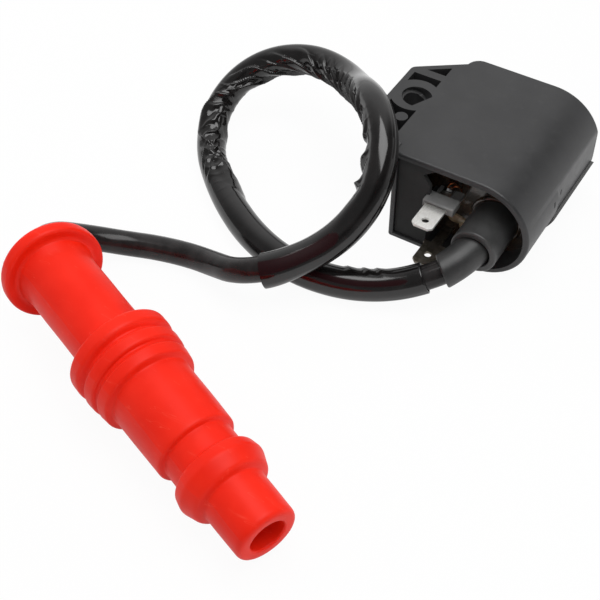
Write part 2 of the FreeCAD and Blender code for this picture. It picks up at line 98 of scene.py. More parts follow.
def putMesh(name, points, faces, material):
    mesh = bpy.data.meshes.new(name)
    mesh.from_pydata(np.asarray(points, float).reshape(-1, 3).tolist(), [], np.asarray(faces).tolist())
    mesh.validate()
    mesh.polygons.foreach_set("use_smooth", [True] * len(mesh.polygons))
    piece = bpy.data.objects.new(name, mesh)
    bpy.context.scene.collection.objects.link(piece)
    piece.data.materials.append(material)
    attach(piece, "root")
    return piece


def waves(seed, count, lowest, highest, *fields):
    # a sum of plane waves of random direction, length and phase over the given fields, mostly within
    # -1.5 to 1.5
    random = np.random.default_rng(seed)
    total = 0.0
    for _ in range(count):
        heading = random.normal(size=len(fields))
        heading /= np.linalg.norm(heading)
        pitch = random.uniform(lowest, highest)
        distance = sum(h * f for h, f in zip(heading, fields))
        total = total + np.sin(distance * 2 * math.pi / pitch + random.uniform(0, 6.28))
    return total / math.sqrt(count)


class Wire:
    # one output socket: arithmetic on it adds Math nodes
    def __init__(self, tree, socket=None):
        self.tree = tree
        self.socket = socket

    def node(self, kind, settings=None, sockets=None, output=0):
        made = self.tree.nodes.new("ShaderNode" + kind)
        for name, value in (settings or {}).items():
            setattr(made, name, value)
        for name, value in (sockets or {}).items():
            target = made.inputs[name]
            if isinstance(value, Wire):
                self.tree.links.new(value.socket, target)
            else:
                target.default_value = value
        return Wire(self.tree, made.outputs[output])

    def outputs(self, *names):
        # other output sockets of the same node
        return [Wire(self.tree, self.socket.node.outputs[name]) for name in names]

    def math(self, operation, *values):
        return self.node("Math", {"operation": operation}, dict(enumerate(values)))

    def __add__(self, other):
        return self.math("ADD", self, other)

    def __radd__(self, other):
        return self.math("ADD", other, self)

    def __sub__(self, other):
        return self.math("SUBTRACT", self, other)

    def __rsub__(self, other):
        return self.math("SUBTRACT", other, self)

    def __mul__(self, other):
        return self.math("MULTIPLY", self, other)

    def __rmul__(self, other):
        return self.math("MULTIPLY", other, self)

    def __abs__(self):
        return self.math("ABSOLUTE", self)

    def step(self, low, high):
        # 0 below low, 1 above high, smooth between
        return self.node("MapRange", {"interpolation_type": "SMOOTHSTEP"},
                         {"Value": self, "From Min": low, "From Max": high})

    def inside(self, middle, half, soft):
        # 1 within half of middle, fading to 0 over soft
        return 1 - abs(self - middle).step(half, half + soft)


def mixColour(start, factor, a, b):
    # the Mix node's colour sockets are its inputs 6 and 7 and its output 2
    return start.node("Mix", {"data_type": "RGBA"}, {"Factor": factor, 6: a, 7: b}, output=2)


def newMaterial(name):
    material = bpy.data.materials.new(name)
    material.use_nodes = True
    tree = material.node_tree
    tree.nodes.clear()
    return material, Wire(tree)


def useSurface(shader, kind="Material"):
    out = shader.tree.nodes.new("ShaderNodeOutput" + kind)
    shader.tree.links.new(shader.socket, out.inputs["Surface"])


def colour(r, g, b):
    return (r, g, b, 1.0)


def grey(value):
    return colour(value, value, value)


def millimetres(start):
    # the piece's own coordinates in mm
    place = start.node("TexCoord", {}, {}, output=3)
    return start.node("Mapping", {}, {"Vector": place, "Scale": (1 / mm, 1 / mm, 1 / mm)})


def noise(start, where, scale, detail, more=None):
    return start.node("TexNoise", {}, {"Vector": where, "Scale": scale, "Detail": detail, **(more or {})})


def stretched(start, where, scale, turn):
    return start.node("Mapping", {}, {"Vector": where, "Scale": scale, "Rotation": turn})


def bumped(start, strength, deep, height):
    # deep is in mm
    return start.node("Bump", {}, {"Strength": strength, "Distance": deep * mm, "Height": height})


def mouldedMaterial(name, look):
    # one recipe for moulded, drawn and cast surfaces: cloudy colour, fine grain, faint scuffs
    material, start = newMaterial(name)
    scaled = millimetres(start)
    cloud = noise(start, scaled, look["cloudScale"], 4.0, {"Roughness": 0.6})
    grain = noise(start, scaled, look["grainScale"], 3.0, {"Roughness": 0.65})
    drawn = stretched(start, scaled, look.get("scuffStretch", (0.2, 1.0, 1.0)), (0.2, 0.4, 0.7))
    marks = noise(start, drawn, 1.2, 5.0).step(0.62, 0.78) * look.get("scuff", 0.0)
    tone = mixColour(start, cloud.step(0.3, 0.7), look["dark"], look["light"])
    tone = mixColour(start, marks, tone, look.get("scuffColour", look["light"]))
    rough = look["rough"] + (cloud - 0.5) * 0.1 + (grain - 0.5) * 0.1 + marks * 0.1
    height = grain + cloud * look.get("waviness", 0.5) + marks * 0.3
    bump = bumped(start, look["bump"], look["bumpHeight"], height)
    useSurface(start.node("BsdfPrincipled", {}, {
        "Base Color": tone, "Roughness": rough, "Normal": bump,
        "Metallic": look.get("metallic", 0.0), "Specular IOR Level": look.get("specular", 0.5),
        "Coat Weight": look.get("coat", 0.0), "Coat Roughness": look.get("coatRough", 0.1)}))
    return material


looks = {
    # dark and light tones, roughness, sizes of clouds and grain (per mm), height of the grain (mm)
    "plateBlack": dict(dark=grey(0.030), light=grey(0.038), rough=0.55, cloudScale=0.11, grainScale=5.0,
                       scuff=0.3, scuffColour=grey(0.04), bump=0.25, bumpHeight=0.02, specular=0.12),
    "towerPlastic": dict(dark=grey(0.034), light=grey(0.044), rough=0.36, cloudScale=0.3, grainScale=6.0,
                         scuff=0.2, scuffColour=grey(0.07), bump=0.2, bumpHeight=0.02),
    # painted light: the black terminal block made far paler than the other mouldings, as it lies in shade
    # under the rim
    "blockPaintedLight": dict(dark=grey(0.16), light=colour(0.20, 0.20, 0.196), rough=0.42, cloudScale=0.3,
                         grainScale=5.0, scuff=0.3, scuffColour=grey(0.14), bump=0.2, bumpHeight=0.02),
    "blackRubber": dict(dark=grey(0.020), light=grey(0.030), rough=0.40, cloudScale=0.3, grainScale=6.0,
                        scuff=0.2, scuffColour=grey(0.05), bump=0.2, bumpHeight=0.02),
    # painted shade: the blade's tin made dark and brownish for the lower terminal, as shadow and a painted
    # reflection of the brown resin
    "paintedShadeTin": dict(dark=colour(0.16, 0.14, 0.11), light=colour(0.30, 0.27, 0.23), rough=0.45, cloudScale=0.5,
                    grainScale=8.0, scuff=0.4, scuffColour=colour(0.42, 0.38, 0.33), metallic=1.0, bump=0.2,
                    bumpHeight=0.02),
    "tinPlate": dict(dark=colour(0.84, 0.83, 0.80), light=colour(0.98, 0.97, 0.95), rough=0.60,
                     cloudScale=0.8, grainScale=9.0, scuff=0.5, scuffColour=colour(0.42, 0.38, 0.33),
                     scuffStretch=(0.15, 1.6, 1.0), metallic=1.0, bump=0.25, bumpHeight=0.02),
    "solder": dict(dark=grey(0.55), light=grey(0.75), rough=0.18, cloudScale=0.9, grainScale=4.0,
                   metallic=1.0, bump=0.3, bumpHeight=0.05),
    "copper": dict(dark=colour(0.48, 0.14, 0.05), light=colour(0.72, 0.26, 0.10), rough=0.3, cloudScale=0.6,
                   grainScale=8.0, metallic=1.0, coat=0.4, bump=0.2, bumpHeight=0.02),
    "coreSteel": dict(dark=colour(0.16, 0.16, 0.17), light=colour(0.30, 0.30, 0.31), rough=0.45,
                      cloudScale=0.5, grainScale=7.0, metallic=0.9, bump=0.3, bumpHeight=0.02, scuff=0.4),
    "bobbinNylon": dict(dark=colour(0.55, 0.50, 0.38), light=colour(0.68, 0.63, 0.50), rough=0.5,
                        cloudScale=0.3, grainScale=6.0, bump=0.2, bumpHeight=0.02),
    "capThermoset": dict(dark=colour(0.03, 0.022, 0.018), light=colour(0.05, 0.038, 0.03), rough=0.4,
                         cloudScale=0.3, grainScale=6.0, bump=0.2, bumpHeight=0.02),
    "ceramic": dict(dark=colour(0.70, 0.66, 0.58), light=colour(0.82, 0.79, 0.72), rough=0.2, cloudScale=0.4,
                    grainScale=8.0, coat=0.5, bump=0.15, bumpHeight=0.01),
    "springSteel": dict(dark=colour(0.40, 0.40, 0.42), light=colour(0.58, 0.58, 0.60), rough=0.3,
                        cloudScale=0.9, grainScale=9.0, metallic=1.0, bump=0.2, bumpHeight=0.01),
    "pottingResin": dict(dark=colour(0.012, 0.010, 0.009), light=colour(0.05, 0.028, 0.014), rough=0.10,
                         cloudScale=0.25, grainScale=2.0, coat=0.6, coatRough=0.04, bump=0.3, bumpHeight=0.10,
                         waviness=2.0),
    "curedBead": dict(dark=colour(0.16, 0.11, 0.06), light=colour(0.34, 0.27, 0.17), rough=0.16,
                      cloudScale=0.5, grainScale=2.0, coat=0.5, coatRough=0.05, bump=0.3, bumpHeight=0.1,
                      waviness=2.0),
}
materials = {name: mouldedMaterial(name, look) for name, look in looks.items()}
print("materials made:", len(materials))


cameraView = {
    "azimuth": 31.17,          # degrees from a lens that looks along +Y
    "elevation": 47.14,
    "target": (-28.75, -58.9, 0.0),   # mm
    "distance": 352.1,         # mm
    "lens": 78.0,              # mm
    "sensor": 36.0,            # mm
    "nearest": 10.0,           # mm
}

azimuth = math.radians(cameraView["azimuth"])
elevation = math.radians(cameraView["elevation"])
forward = Vector((-math.sin(azimuth) * math.cos(elevation),
                  math.cos(azimuth) * math.cos(elevation),
                  -math.sin(elevation)))
cameraData = bpy.data.cameras.new("camera")
cameraData.lens = cameraView["lens"]
cameraData.sensor_width = cameraView["sensor"]
cameraData.clip_start = cameraView["nearest"] * mm
camera = bpy.data.objects.new("camera", cameraData)
camera.location = (Vector(cameraView["target"]) - forward * cameraView["distance"]) * mm
camera.rotation_mode = "QUATERNION"
camera.rotation_quaternion = forward.to_track_quat("-Z", "Y")
bpy.context.scene.collection.objects.link(camera)
bpy.context.scene.camera = camera
bpy.context.scene.view_settings.view_transform = "Standard"

lamps = {
    # place (mm), aim (mm), size (mm), power (W), and whether glossy surfaces mirror it
    "key": ((30.0, -40.0, 446.0), (-25.0, -35.0, 20.0), (300.0, 380.0), 1.36, True),
    "frontFill": ((164.0, -242.0, 381.0), (-25.0, -35.0, 20.0), (400.0, 380.0), 0.32, False),
    "leftBack": ((-380.0, 160.0, 260.0), (-40.0, -30.0, 5.0), (220.0, 260.0), 0.6, False),
    "leftFill": ((-330.0, -220.0, 240.0), (-70.0, -90.0, 10.0), (300.0, 260.0), 0.22, False),
    "rightFill": ((420.0, -40.0, 70.0), (0.0, 0.0, 10.0), (220.0, 120.0), 0.30, False),
}
studio = {
    "worldStrength": 0.32,
    "backReflection": 0.80,    # what glossy surfaces mirror from behind the object, and from its front
    "frontReflection": 0.22,
    "backwards": (-0.35, 0.65),       # ray directions between which that changes
    "screenDepth": 0.85,       # how dark the screen high on the right is in them
    "screenRight": (0.05, 0.55),      # ray directions between which it fades in
    "screenUp": (0.15, 0.50),
    "floorSeen": 0.95,         # how far the floor is plain white to the lens, and to mirrored rays
    "floorMirrored": 0.50,
    "floorTone": 0.80,
    "floorReach": 3000.0,      # mm from the middle to each side
    "floorDepth": 0.05,        # mm under the object
}


def addLamp(name, place, aim, size, power, mirrored):
    lamp = bpy.data.lights.new(name, "AREA")
    lamp.shape = "RECTANGLE"
    lamp.size, lamp.size_y = size[0] * mm, size[1] * mm
    lamp.energy = power
    holder = bpy.data.objects.new(name, lamp)
    holder.location = Vector(place) * mm
    holder.rotation_mode = "QUATERNION"
    holder.rotation_quaternion = (Vector(aim) - Vector(place)).to_track_quat("-Z", "Y")
    holder.visible_glossy = mirrored
    bpy.context.scene.collection.objects.link(holder)


for lampName, lampSizes in lamps.items():
    addLamp(lampName, *lampSizes)


def makeWorld():
    # white to the lens; to mirrored rays a pale wall behind the object, a darker room in front of it and
    # a dark screen high on the right
    world = bpy.data.worlds.new("studio")
    world.use_nodes = True
    world.node_tree.nodes.clear()
    start = Wire(world.node_tree)
    rays = start.node("LightPath")
    seen, glossy, through = rays.outputs("Is Camera Ray", "Is Glossy Ray", "Is Transmission Ray")
    towards = start.node("SeparateXYZ", {}, {"Vector": start.node("TexCoord")})
    x, y, z = towards.outputs("X", "Y", "Z")
    screen = x.step(*studio["screenRight"]) * z.step(*studio["screenUp"])
    difference = studio["backReflection"] - studio["frontReflection"]
    reflected = studio["frontReflection"] + difference * y.step(*studio["backwards"])
    reflected = reflected * (1 - screen * studio["screenDepth"])
    strength = start.math("MAXIMUM", seen, through)
    strength = strength + (1 - strength) * (glossy * reflected + (1 - glossy) * studio["worldStrength"])
    useSurface(start.node("Background", {}, {"Color": grey(1), "Strength": strength}), "World")
    return world


bpy.context.scene.world = makeWorld()


def floorMaterial():
    # a pale floor that the lens sees near white, with the object's soft shadow
    material, start = newMaterial("studioFloor")
    seen, glossy = start.node("LightPath").outputs("Is Camera Ray", "Is Glossy Ray")
    diffuse = start.node("BsdfDiffuse", {}, {"Color": grey(studio["floorTone"])})
    glow = start.node("Emission", {}, {"Color": grey(1), "Strength": 1.0})
    share = seen * studio["floorSeen"] + glossy * studio["floorMirrored"]
    useSurface(start.node("MixShader", {}, {0: share, 1: diffuse, 2: glow}))
    return material


floorMesh = bpy.data.meshes.new("floor")
reach, low = studio["floorReach"] * mm, -studio["floorDepth"] * mm
floorCorners = [(-reach, -reach, low), (reach, -reach, low), (reach, reach, low), (-reach, reach, low)]
floorMesh.from_pydata(floorCorners, [], [(0, 1, 2, 3)])
floor = bpy.data.objects.new("floor", floorMesh)
floor.data.materials.append(floorMaterial())
bpy.context.scene.collection.objects.link(floor)
print("camera, lamps and floor set")


leadSizes = {
    "radius": 3.5,             # mm
    "exit": (8.0, -24.0, 13.5),       # the tower's floor, mm
    "sleeveHeight": 4.6,       # centre height of the sleeved run on the surface
    "bareHeight": 3.6,         # centre height of the bare run
    "humpHeight": 14.3,        # where it crosses over itself
    "tangentReach": 0.6,       # mm each way over which its direction is taken
}
onFloor, bare, hump = leadSizes["sleeveHeight"], leadSizes["bareHeight"], leadSizes["humpHeight"]
leadRoute = [
    leadSizes["exit"], (8.0, -34.0, 13.5), (3.0, -40.0, 10.5), (-7.0, -46.5, 6.0),
    (-20.0, -52.0, onFloor), (-36.0, -53.5, onFloor), (-51.0, -48.5, onFloor), (-63.0, -41.0, onFloor),
    (-72.5, -33.0, onFloor), (-81.0, -24.5, 5.0), (-86.0, -13.5, 9.5), (-84.5, -2.5, 15.5),
    (-77.0, 5.5, 20.5), (-64.5, 9.5, 23.0), (-52.0, 6.0, 24.0), (-43.0, -3.0, 28.5),
    (-36.5, -11.5, 35.5), (-28.5, -19.0, 38.0), (-21.5, -28.0, 35.0),
    (-18.5, -37.0, 28.0), (-21.5, -45.0, 19.0), (-27.0, -53.5, hump), (-31.5, -61.0, hump),
    (-37.5, -65.5, 12.8), (-45.0, -66.5, 9.4), (-52.5, -64.0, 5.6), (-61.5, -63.0, bare),
    (-71.0, -65.2, bare), (-80.0, -68.5, bare), (-88.0, -74.0, 6.5), (-93.5, -82.5, 12.5),
    (-89.4, -92.6, 17.2), (-79.0, -96.9, 16.5),
]
leadCurve = bpy.data.curves.new("lead", "CURVE")
leadCurve.dimensions = "3D"
spline = leadCurve.splines.new("NURBS")
spline.points.add(len(leadRoute) - 1)
for point, place in zip(spline.points, leadRoute):
    point.co = (place[0] * mm, place[1] * mm, place[2] * mm, 1.0)
spline.order_u = 3
spline.use_endpoint_u = True
spline.resolution_u = 16
lead = bpy.data.objects.new("lead", leadCurve)
bpy.context.scene.collection.objects.link(lead)
bpy.context.view_layer.update()
lineMesh = bpy.data.meshes.new_from_object(lead.evaluated_get(bpy.context.evaluated_depsgraph_get()))
line = np.zeros(len(lineMesh.vertices) * 3)
lineMesh.vertices.foreach_get("co", line)
line = line.reshape(-1, 3) / mm
fromTower = np.linalg.norm(line[[0, -1]] - np.array(leadSizes["exit"]), axis=1)
if fromTower[0] > fromTower[1]:
    line = line[::-1]
leadCurve.bevel_depth = leadSizes["radius"] * mm
leadCurve.bevel_resolution = 8
leadCurve.use_fill_caps = True
stations = np.concatenate([[0.0], np.cumsum(np.linalg.norm(np.diff(line, axis=0), axis=1))])
print("lead line:", len(line), "points,", round(stations[-1], 1), "mm")


def alongLead(where):
    # centre, sideways and up directions of the lead at stations in mm: points along it, and the
    # normals of its direction that lie level and in its upright plane
    reach = leadSizes["tangentReach"]
    centre, ahead, behind = (np.stack([np.interp(place, stations, line[:, k]) for k in range(3)], -1)
                             for place in (where, where + reach, where - reach))
    tangent = unit(ahead - behind)
    side = unit(np.cross(tangent, [0.0, 0.0, 1.0]))
    return centre, side, np.cross(side, tangent)


def leadMaterial():
    # smooth extruded sheath, a little cloudy, with a fine grain
    material, start = newMaterial("leadSheath")
    scaled = millimetres(start)
    cloud = noise(start, scaled, 0.25, 4.0)
    grain = noise(start, scaled, 4.0, 3.0)
    tone = mixColour(start, cloud.step(0.35, 0.7), colour(0.010, 0.009, 0.009), colour(0.020, 0.018, 0.018))
    rough = 0.20 + (cloud - 0.5) * 0.06 + (grain - 0.5) * 0.06
    bump = bumped(start, 0.1, 0.02, grain + cloud * 0.5)
    useSurface(start.node("BsdfPrincipled", {}, {"Base Color": tone, "Roughness": rough, "Normal": bump,
                                                 "Specular IOR Level": 0.36}))
    return material


lead.data.materials.append(leadMaterial())
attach(lead, "root")
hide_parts("lead_insulation")
print("lead laid")


sleeveSizes = {
    "radius": 4.5,             # mm outside
    "wall": 0.35,
    "start": 21.8,             # mm along the lead
    "end": 275.0,
    "loopMiddle": (-52.0, -25.0, 16.0),
    "looseFrom": 84.0,         # the stretch that buckles round the loop
    "looseTo": 246.0,
    "looseFades": (14.0, 8.0),        # mm over which it sets in and ends
    "looseSide": (-0.45, 0.5),        # cosines of the angle from the inner side between which it sets in
    "looseStep": 0.20,         # mm between rings there, and elsewhere
    "calmStep": 0.42,
    "around": 88,
    "innerRings": 60,
    # share of the lead's centre line in the film's, and of the places a distance (mm) before and after it
    "centreShare": 0.26,
    "nearbyShares": ((-5.0, 0.13), (-2.5, 0.24), (2.5, 0.24), (5.0, 0.13)),
    "calm": 0.1,               # mm that the calm film lies under the radius
    "slack": 0.06,             # mm: slow waves of the whole film, and the small ones inside the loop
    "buckle": 0.08,
    "ridge": (0.50, 0.08),     # mm: sharp ridges where the film is crushed, and elsewhere inside the loop
    "crushed": ((98.0, 104.0), (132.0, 138.0)),       # stations between which that begins and ends
    "crushedSide": (-0.2, 0.7),       # radians from the inner side between which it sets in
    "foldDrift": 0.7,          # mm that a fold wanders
    "foldEnds": (20.0, 22.0),  # degrees each way over which a fold begins and ends round the lead
    "sunk": 0.38,              # mm that the inside of the loop lies lower
    "flare": 0.50,             # mm wider at the far end, where it also hangs lower
    "hang": 0.85,
    "flareLength": 12.0,
    "leastGap": 0.12,          # mm between the lead and the film
    "mostRise": 1.1,           # mm that a fold rises over the radius
    "floorGap": 0.05,
    # painted reflection of the red cap, as dark red stretches: first and last station, half width and offset
    # in radians; an empty list leaves the film plain
    "capReflections": [(252.5, 276.0, 0.36, -0.10), (26.0, 58.0, 0.15, -0.06)],
    "reflectionRound": 2.5,          # mm over which one widens, radians of its soft edge, mm over which it fades
    "reflectionEdge": 0.08,
    "reflectionFade": 4.0,
}
filmPatterns = {
    # seed, how many waves, and their shortest and longest length in mm
    "drift": (31, 6, 9.0, 18.0),
    "ridge": (17, 7, 5.0, 10.0),
    "buckle": (5, 9, 9.0, 18.0),
    "slack": (8, 5, 26.0, 60.0),
}
# folds of the film: station on the inner side, slant (mm of station for each radian round), the stretch
# round the lead that it covers (degrees from the inner side), height, length of its slope and of its
# steep edge (mm)
folds = [
    (36.0, 3.0, 5, 70, 0.40, 3.2, 1.0), (40.5, 3.0, 0, 62, 0.45, 3.2, 1.0),
    (44.5, 2.0, 5, 60, 0.40, 3.2, 1.0), (98.5, -6.0, -95, 55, 1.05, 9.0, 0.8),
    (102.5, -5.0, -60, 95, 0.55, 2.8, 0.6), (106.5, -6.0, 10, 115, 0.60, 2.6, 0.5),
    (110.5, 5.0, 25, 115, 0.50, 2.4, 0.5), (115.5, 6.0, 40, 120, 0.70, 3.0, 0.5),
    (119.0, 6.0, 40, 120, 0.65, 2.6, 0.5), (123.5, -8.0, -65, 20, 0.50, 4.2, 1.2),
    (128.0, 5.0, -30, 60, 0.45, 3.2, 0.7), (141.0, 7.5, -90, 125, 1.15, 8.0, 0.6),
    (145.0, 8.0, -70, 75, 0.60, 2.6, 0.5), (151.5, 8.0, -95, 80, 1.05, 8.0, 0.7),
    (158.0, 8.5, -90, 60, 0.50, 4.5, 0.8), (164.0, 8.0, -95, 74, 0.75, 6.0, 0.7),
    (171.0, 6.5, -95, 84, 1.00, 6.5, 0.6), (177.5, 5.5, -95, 76, 0.90, 6.0, 0.6),
    (184.0, 6.5, -95, 80, 0.90, 6.0, 0.6), (190.5, 6.0, -95, 84, 0.90, 6.0, 0.6),
    (197.0, 6.5, -95, 84, 0.90, 6.0, 0.6), (203.0, 6.0, -95, 86, 0.90, 5.6, 0.6),
    (209.0, 6.5, -95, 80, 0.85, 5.6, 0.6), (215.5, 6.0, -95, 74, 0.90, 4.6, 0.7),
    (223.0, 4.0, -95, 60, 1.15, 6.5, 1.6), (232.5, 3.5, -95, 56, 1.60, 3.6, 2.0),
    (239.5, 4.0, -95, 52, 1.80, 3.4, 2.6),
]


def filmWaves(pattern, s, away):
    # waves over the film laid flat: mm along it and mm round it
    return waves(*filmPatterns[pattern], s, away * sleeveSizes["radius"])


def foldHeights(s, away):
    # each fold rises along a flat slope to its crest and drops at its steep edge
    height = 0.0
    drift = sleeveSizes["foldDrift"] * filmWaves("drift", s, away)
    degrees = np.degrees(away)
    begins, ends = sleeveSizes["foldEnds"]
    for station, slant, first, last, tall, slope, edge in folds:
        past = s + slant * away - station + drift
        crest = np.clip(1 + past / slope, 0, 1) ** 1.2 * np.clip(1 - past / edge, 0, 1)
        span = smoothStep(first - begins, first + begins, degrees)
        span = span * smoothStep(-last - ends, -last + ends, -degrees)
        height = height + tall * crest * span
    return height


def crinkles(s, away):
    # a mesh of sharp little ridges where the film is crushed, faint on the rest of the loop's inside: they
    # stand where the waves pass through nought
    ridge = 1 - np.clip(np.abs(filmWaves("ridge", s, away)) * 1.7, 0, 1)
    begins, ends = sleeveSizes["crushed"]
    crushed = smoothStep(*begins, s) * (1 - smoothStep(*ends, s))
    crushed = crushed * smoothStep(*sleeveSizes["crushedSide"], away)
    tall, faint = sleeveSizes["ridge"]
    return ridge * (tall * crushed + faint)


def sleeveSurface(inset, s, around):
    # a tube round the lead that is smooth outside each bend and folded inside it: its radius is the film's
    # own plus slack, buckles, folds and the flare, and a point is the centre plus the radius round it
    sizes = sleeveSizes
    s = s[:, None]
    turn = turnsOf(around)
    centre, side, up = alongLead(s[:, 0])
    # the film does not follow the lead's tightest turns
    centre = centre * sizes["centreShare"]
    for shift, share in sizes["nearbyShares"]:
        centre = centre + alongLead(s[:, 0] + shift)[0] * share
    inwards = np.array(sizes["loopMiddle"]) - centre
    inward = np.arctan2((inwards * up).sum(-1), (inwards * side).sum(-1))[:, None]
    away = wrapped(turn - inward)
    setIn, fade = sizes["looseFades"]
    loose = smoothStep(sizes["looseFrom"], sizes["looseFrom"] + setIn, s)
    loose = loose * (1 - smoothStep(sizes["looseTo"] - fade, sizes["looseTo"], s))
    innerSide = smoothStep(*sizes["looseSide"], np.cos(away)) * loose
    soft = sizes["buckle"] * filmWaves("buckle", s, away) - sizes["sunk"] + crinkles(s, away)
    slack = sizes["slack"] * filmWaves("slack", s, away)
    ending = smoothStep(sizes["end"] - sizes["flareLength"], sizes["end"], s)
    radius = sizes["radius"] - sizes["calm"] + slack + innerSide * soft + foldHeights(s, away)
    radius = radius + sizes["flare"] * ending
    # the film stays outside the lead, inside its own room and above the surface it lies on
    least = leadSizes["radius"] + sizes["leastGap"] + sizes["wall"]
    radius = np.clip(radius, least, sizes["radius"] + sizes["mostRise"])
    lowest = centre[:, 2][:, None] + radius * np.sin(turn) * up[:, 2][:, None]
    radius = np.where(lowest < sizes["floorGap"], radius - (sizes["floorGap"] - lowest), radius) - inset
    hang = np.array([0.0, 0.0, -sizes["hang"]]) * ending[..., None]
    return (centre[:, None, :] + hang + ringsOf(side, up, turn) * radius[..., None]) * mm


def vinylMaterial():
    # thin glossy film, a slightly brown black: small ripples, dust in specks, and a dull dark red painted as
    # the red cap's reflection, in the share that the mesh attribute gives
    material, start = newMaterial("glossyVinyl")
    scaled = millimetres(start)
    cloud = noise(start, scaled, 0.18, 4.0)
    ripple = noise(start, scaled, 0.35, 3.0, {"Distortion": 0.6})
    speck = noise(start, scaled, 9.0, 2.0)
    tone = mixColour(start, cloud.step(0.35, 0.7), colour(0.0045, 0.004, 0.004), colour(0.009, 0.008, 0.008))
    tone = mixColour(start, speck.step(0.70, 0.80) * 0.2, tone, grey(0.08))
    # share of the painted reflection of the red cap, read from the mesh
    capReflection = start.node("Attribute", {"attribute_name": "capReflection"}, {}, output=2)
    rough = 0.13 + (cloud - 0.5) * 0.08 + speck.step(0.62, 0.8) * 0.10
    bump = bumped(start, 0.15, 0.08, ripple)
    glossy = start.node("BsdfPrincipled", {}, {"Base Color": tone, "Roughness": rough, "Normal": bump,
                                               "Specular IOR Level": 0.6})
    dull = start.node("BsdfPrincipled", {}, {"Base Color": colour(0.015, 0.004, 0.005), "Roughness": 0.5,
                                             "Specular IOR Level": 0.07})
    useSurface(start.node("MixShader", {}, {0: capReflection, 1: glossy, 2: dull}))
    return material


def sleeveStations():
    # rings close together in the loose stretch and wider apart where the film is calm
    start, end = sleeveSizes["start"], sleeveSizes["end"]
    first, last = sleeveSizes["looseFrom"], sleeveSizes["looseTo"]
    coarse = 1.0
    calm, close = sleeveSizes["calmStep"] * coarse, sleeveSizes["looseStep"] * coarse
    runs = [np.arange(start, first, calm), np.arange(first, last, close), np.arange(last, end, calm), [end]]
    return np.concatenate(runs)


def sleeveCapReflection(s, around):
    # a painted reflection of the red cap in the film, in dull dark red: a flat stretch at its far end and a
    # narrower line near the boot, on the side of the film that faces the camera's place above
    turn = turnsOf(around)
    _, side, up = alongLead(s)
    towardsLens = -np.array(forward)
    facing = np.arctan2((towardsLens * up).sum(-1), (towardsLens * side).sum(-1))[:, None]
    s = s[:, None]
    capReflection = np.zeros((len(s), around))
    for first, last, half, offset in sleeveSizes["capReflections"]:
        # the near end is rounded, and the far end fades
        rounded = half * np.sqrt(np.clip((s - first) / sleeveSizes["reflectionRound"], 0, 1))
        beside = np.abs(wrapped(turn - facing - offset))
        across = 1 - smoothStep(rounded, rounded + sleeveSizes["reflectionEdge"], beside)
        capReflection = capReflection + across * (s > first) * (1 - smoothStep(last, last + sleeveSizes["reflectionFade"], s))
    return capReflection


def buildSleeve():
    around = sleeveSizes["around"]
    place = sleeveStations()
    innerPlace = np.linspace(place[0], place[-1], sleeveSizes["innerRings"])
    outer = sleeveSurface(0.0, place, around)
    inner = sleeveSurface(sleeveSizes["wall"], innerPlace, around)
    count = len(place) * around
    innerFaces = gridFaces(len(inner), around)[:, ::-1] + count
    startLip = bandFaces(0, count, around)
    endLip = bandFaces(count - around, count + (len(inner) - 1) * around, around)[:, ::-1]
    points = np.concatenate([outer.reshape(-1, 3), inner.reshape(-1, 3)])
    faces = np.concatenate([gridFaces(len(place), around), innerFaces, startLip, endLip])
    piece = putMesh("sleeve", points, faces, vinylMaterial())
    # the painted reflection of the red cap goes on the outside of the film only
    capReflection = np.zeros(len(points))
    capReflection[:count] = sleeveCapReflection(place, around).ravel()
    piece.data.attributes.new("capReflection", "FLOAT", "POINT").data.foreach_set("value", capReflection)
    turnOutwards(piece)
    return piece


sleeve = buildSleeve()
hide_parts("lead_sleeve")
print("sleeve made:", len(sleeve.data.polygons), "faces")


bootSizes = {
    # mm; stations run along the lead
    "radius": 4.75,
    "bore": 3.52,
    "start": 4.4,
    "straightFrom": 5.2,       # the outside runs nearly straight from here to the mouth
    "straightness": 0.62,
    "end": 17.0,
    "mouthRound": 0.55,
    "mouthBore": 4.0,
    "mouthDepth": 1.6,
    "lip": 0.02,               # how far behind the mouth's plane the relief begins
    "rings": 60,               # outside, in the bore and along the rolled edge
    "boreRings": 40,
    "rollSteps": 7,
    "around": 96,
}


def buildTowerBoot():
    # a thick rubber tube that is nearly straight outside, bored along the lead's first bend, with a rolled
    # and relieved mouth: its profile goes out along the outside and back along the bore
    sizes = bootSizes
    start, end, edge = sizes["start"], sizes["end"], sizes["mouthRound"]
    body = np.linspace(start, end - edge, sizes["rings"])
    roll = np.linspace(0, math.pi / 2, sizes["rollSteps"] + 1)[1:]
    boreS = np.linspace(end - sizes["mouthDepth"], start, sizes["boreRings"])
    profileS = np.concatenate([body, end - edge + edge * np.sin(roll), [end - sizes["lip"]], boreS])
    rollR = sizes["radius"] - edge + edge * np.cos(roll)
    profileR = np.concatenate([np.full(len(body), sizes["radius"]), rollR, [sizes["mouthBore"]],
                               np.full(len(boreS), sizes["bore"])])
    centre, side, up = alongLead(profileS)
    straight = sizes["straightFrom"]
    first, last = alongLead(np.array([straight, end]))[0]
    share = np.clip((profileS - straight) / (end - straight), 0, 1)[:, None]
    chord = (first + (last - first) * share) * sizes["straightness"] + centre * (1 - sizes["straightness"])
    outside = (np.arange(len(profileS)) < len(body) + len(roll)) & (profileS > straight)
    centre = np.where(outside[:, None], chord, centre)
    around = sizes["around"]
    points = (centre[:, None, :] + ringsOf(side, up, turnsOf(around)) * profileR[:, None, None]) * mm
    closing = bandFaces(0, (len(profileS) - 1) * around, around)
    faces = np.concatenate([gridFaces(len(profileS), around), closing])
    piece = putMesh("towerBoot", points, faces, materials["blackRubber"])
    turnOutwards(piece)
    return piece


towerBoot = buildTowerBoot()
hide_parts("tower_boot")
print("tower boot made")


softSizes = {
    "sameCorner": 0.0002,      # mm between corners that are one
    "flatWithin": 0.6,         # degrees between faces that are one
    "sharpOver": 28.0,         # degrees at an edge that is rolled over
    "segments": 2,
}


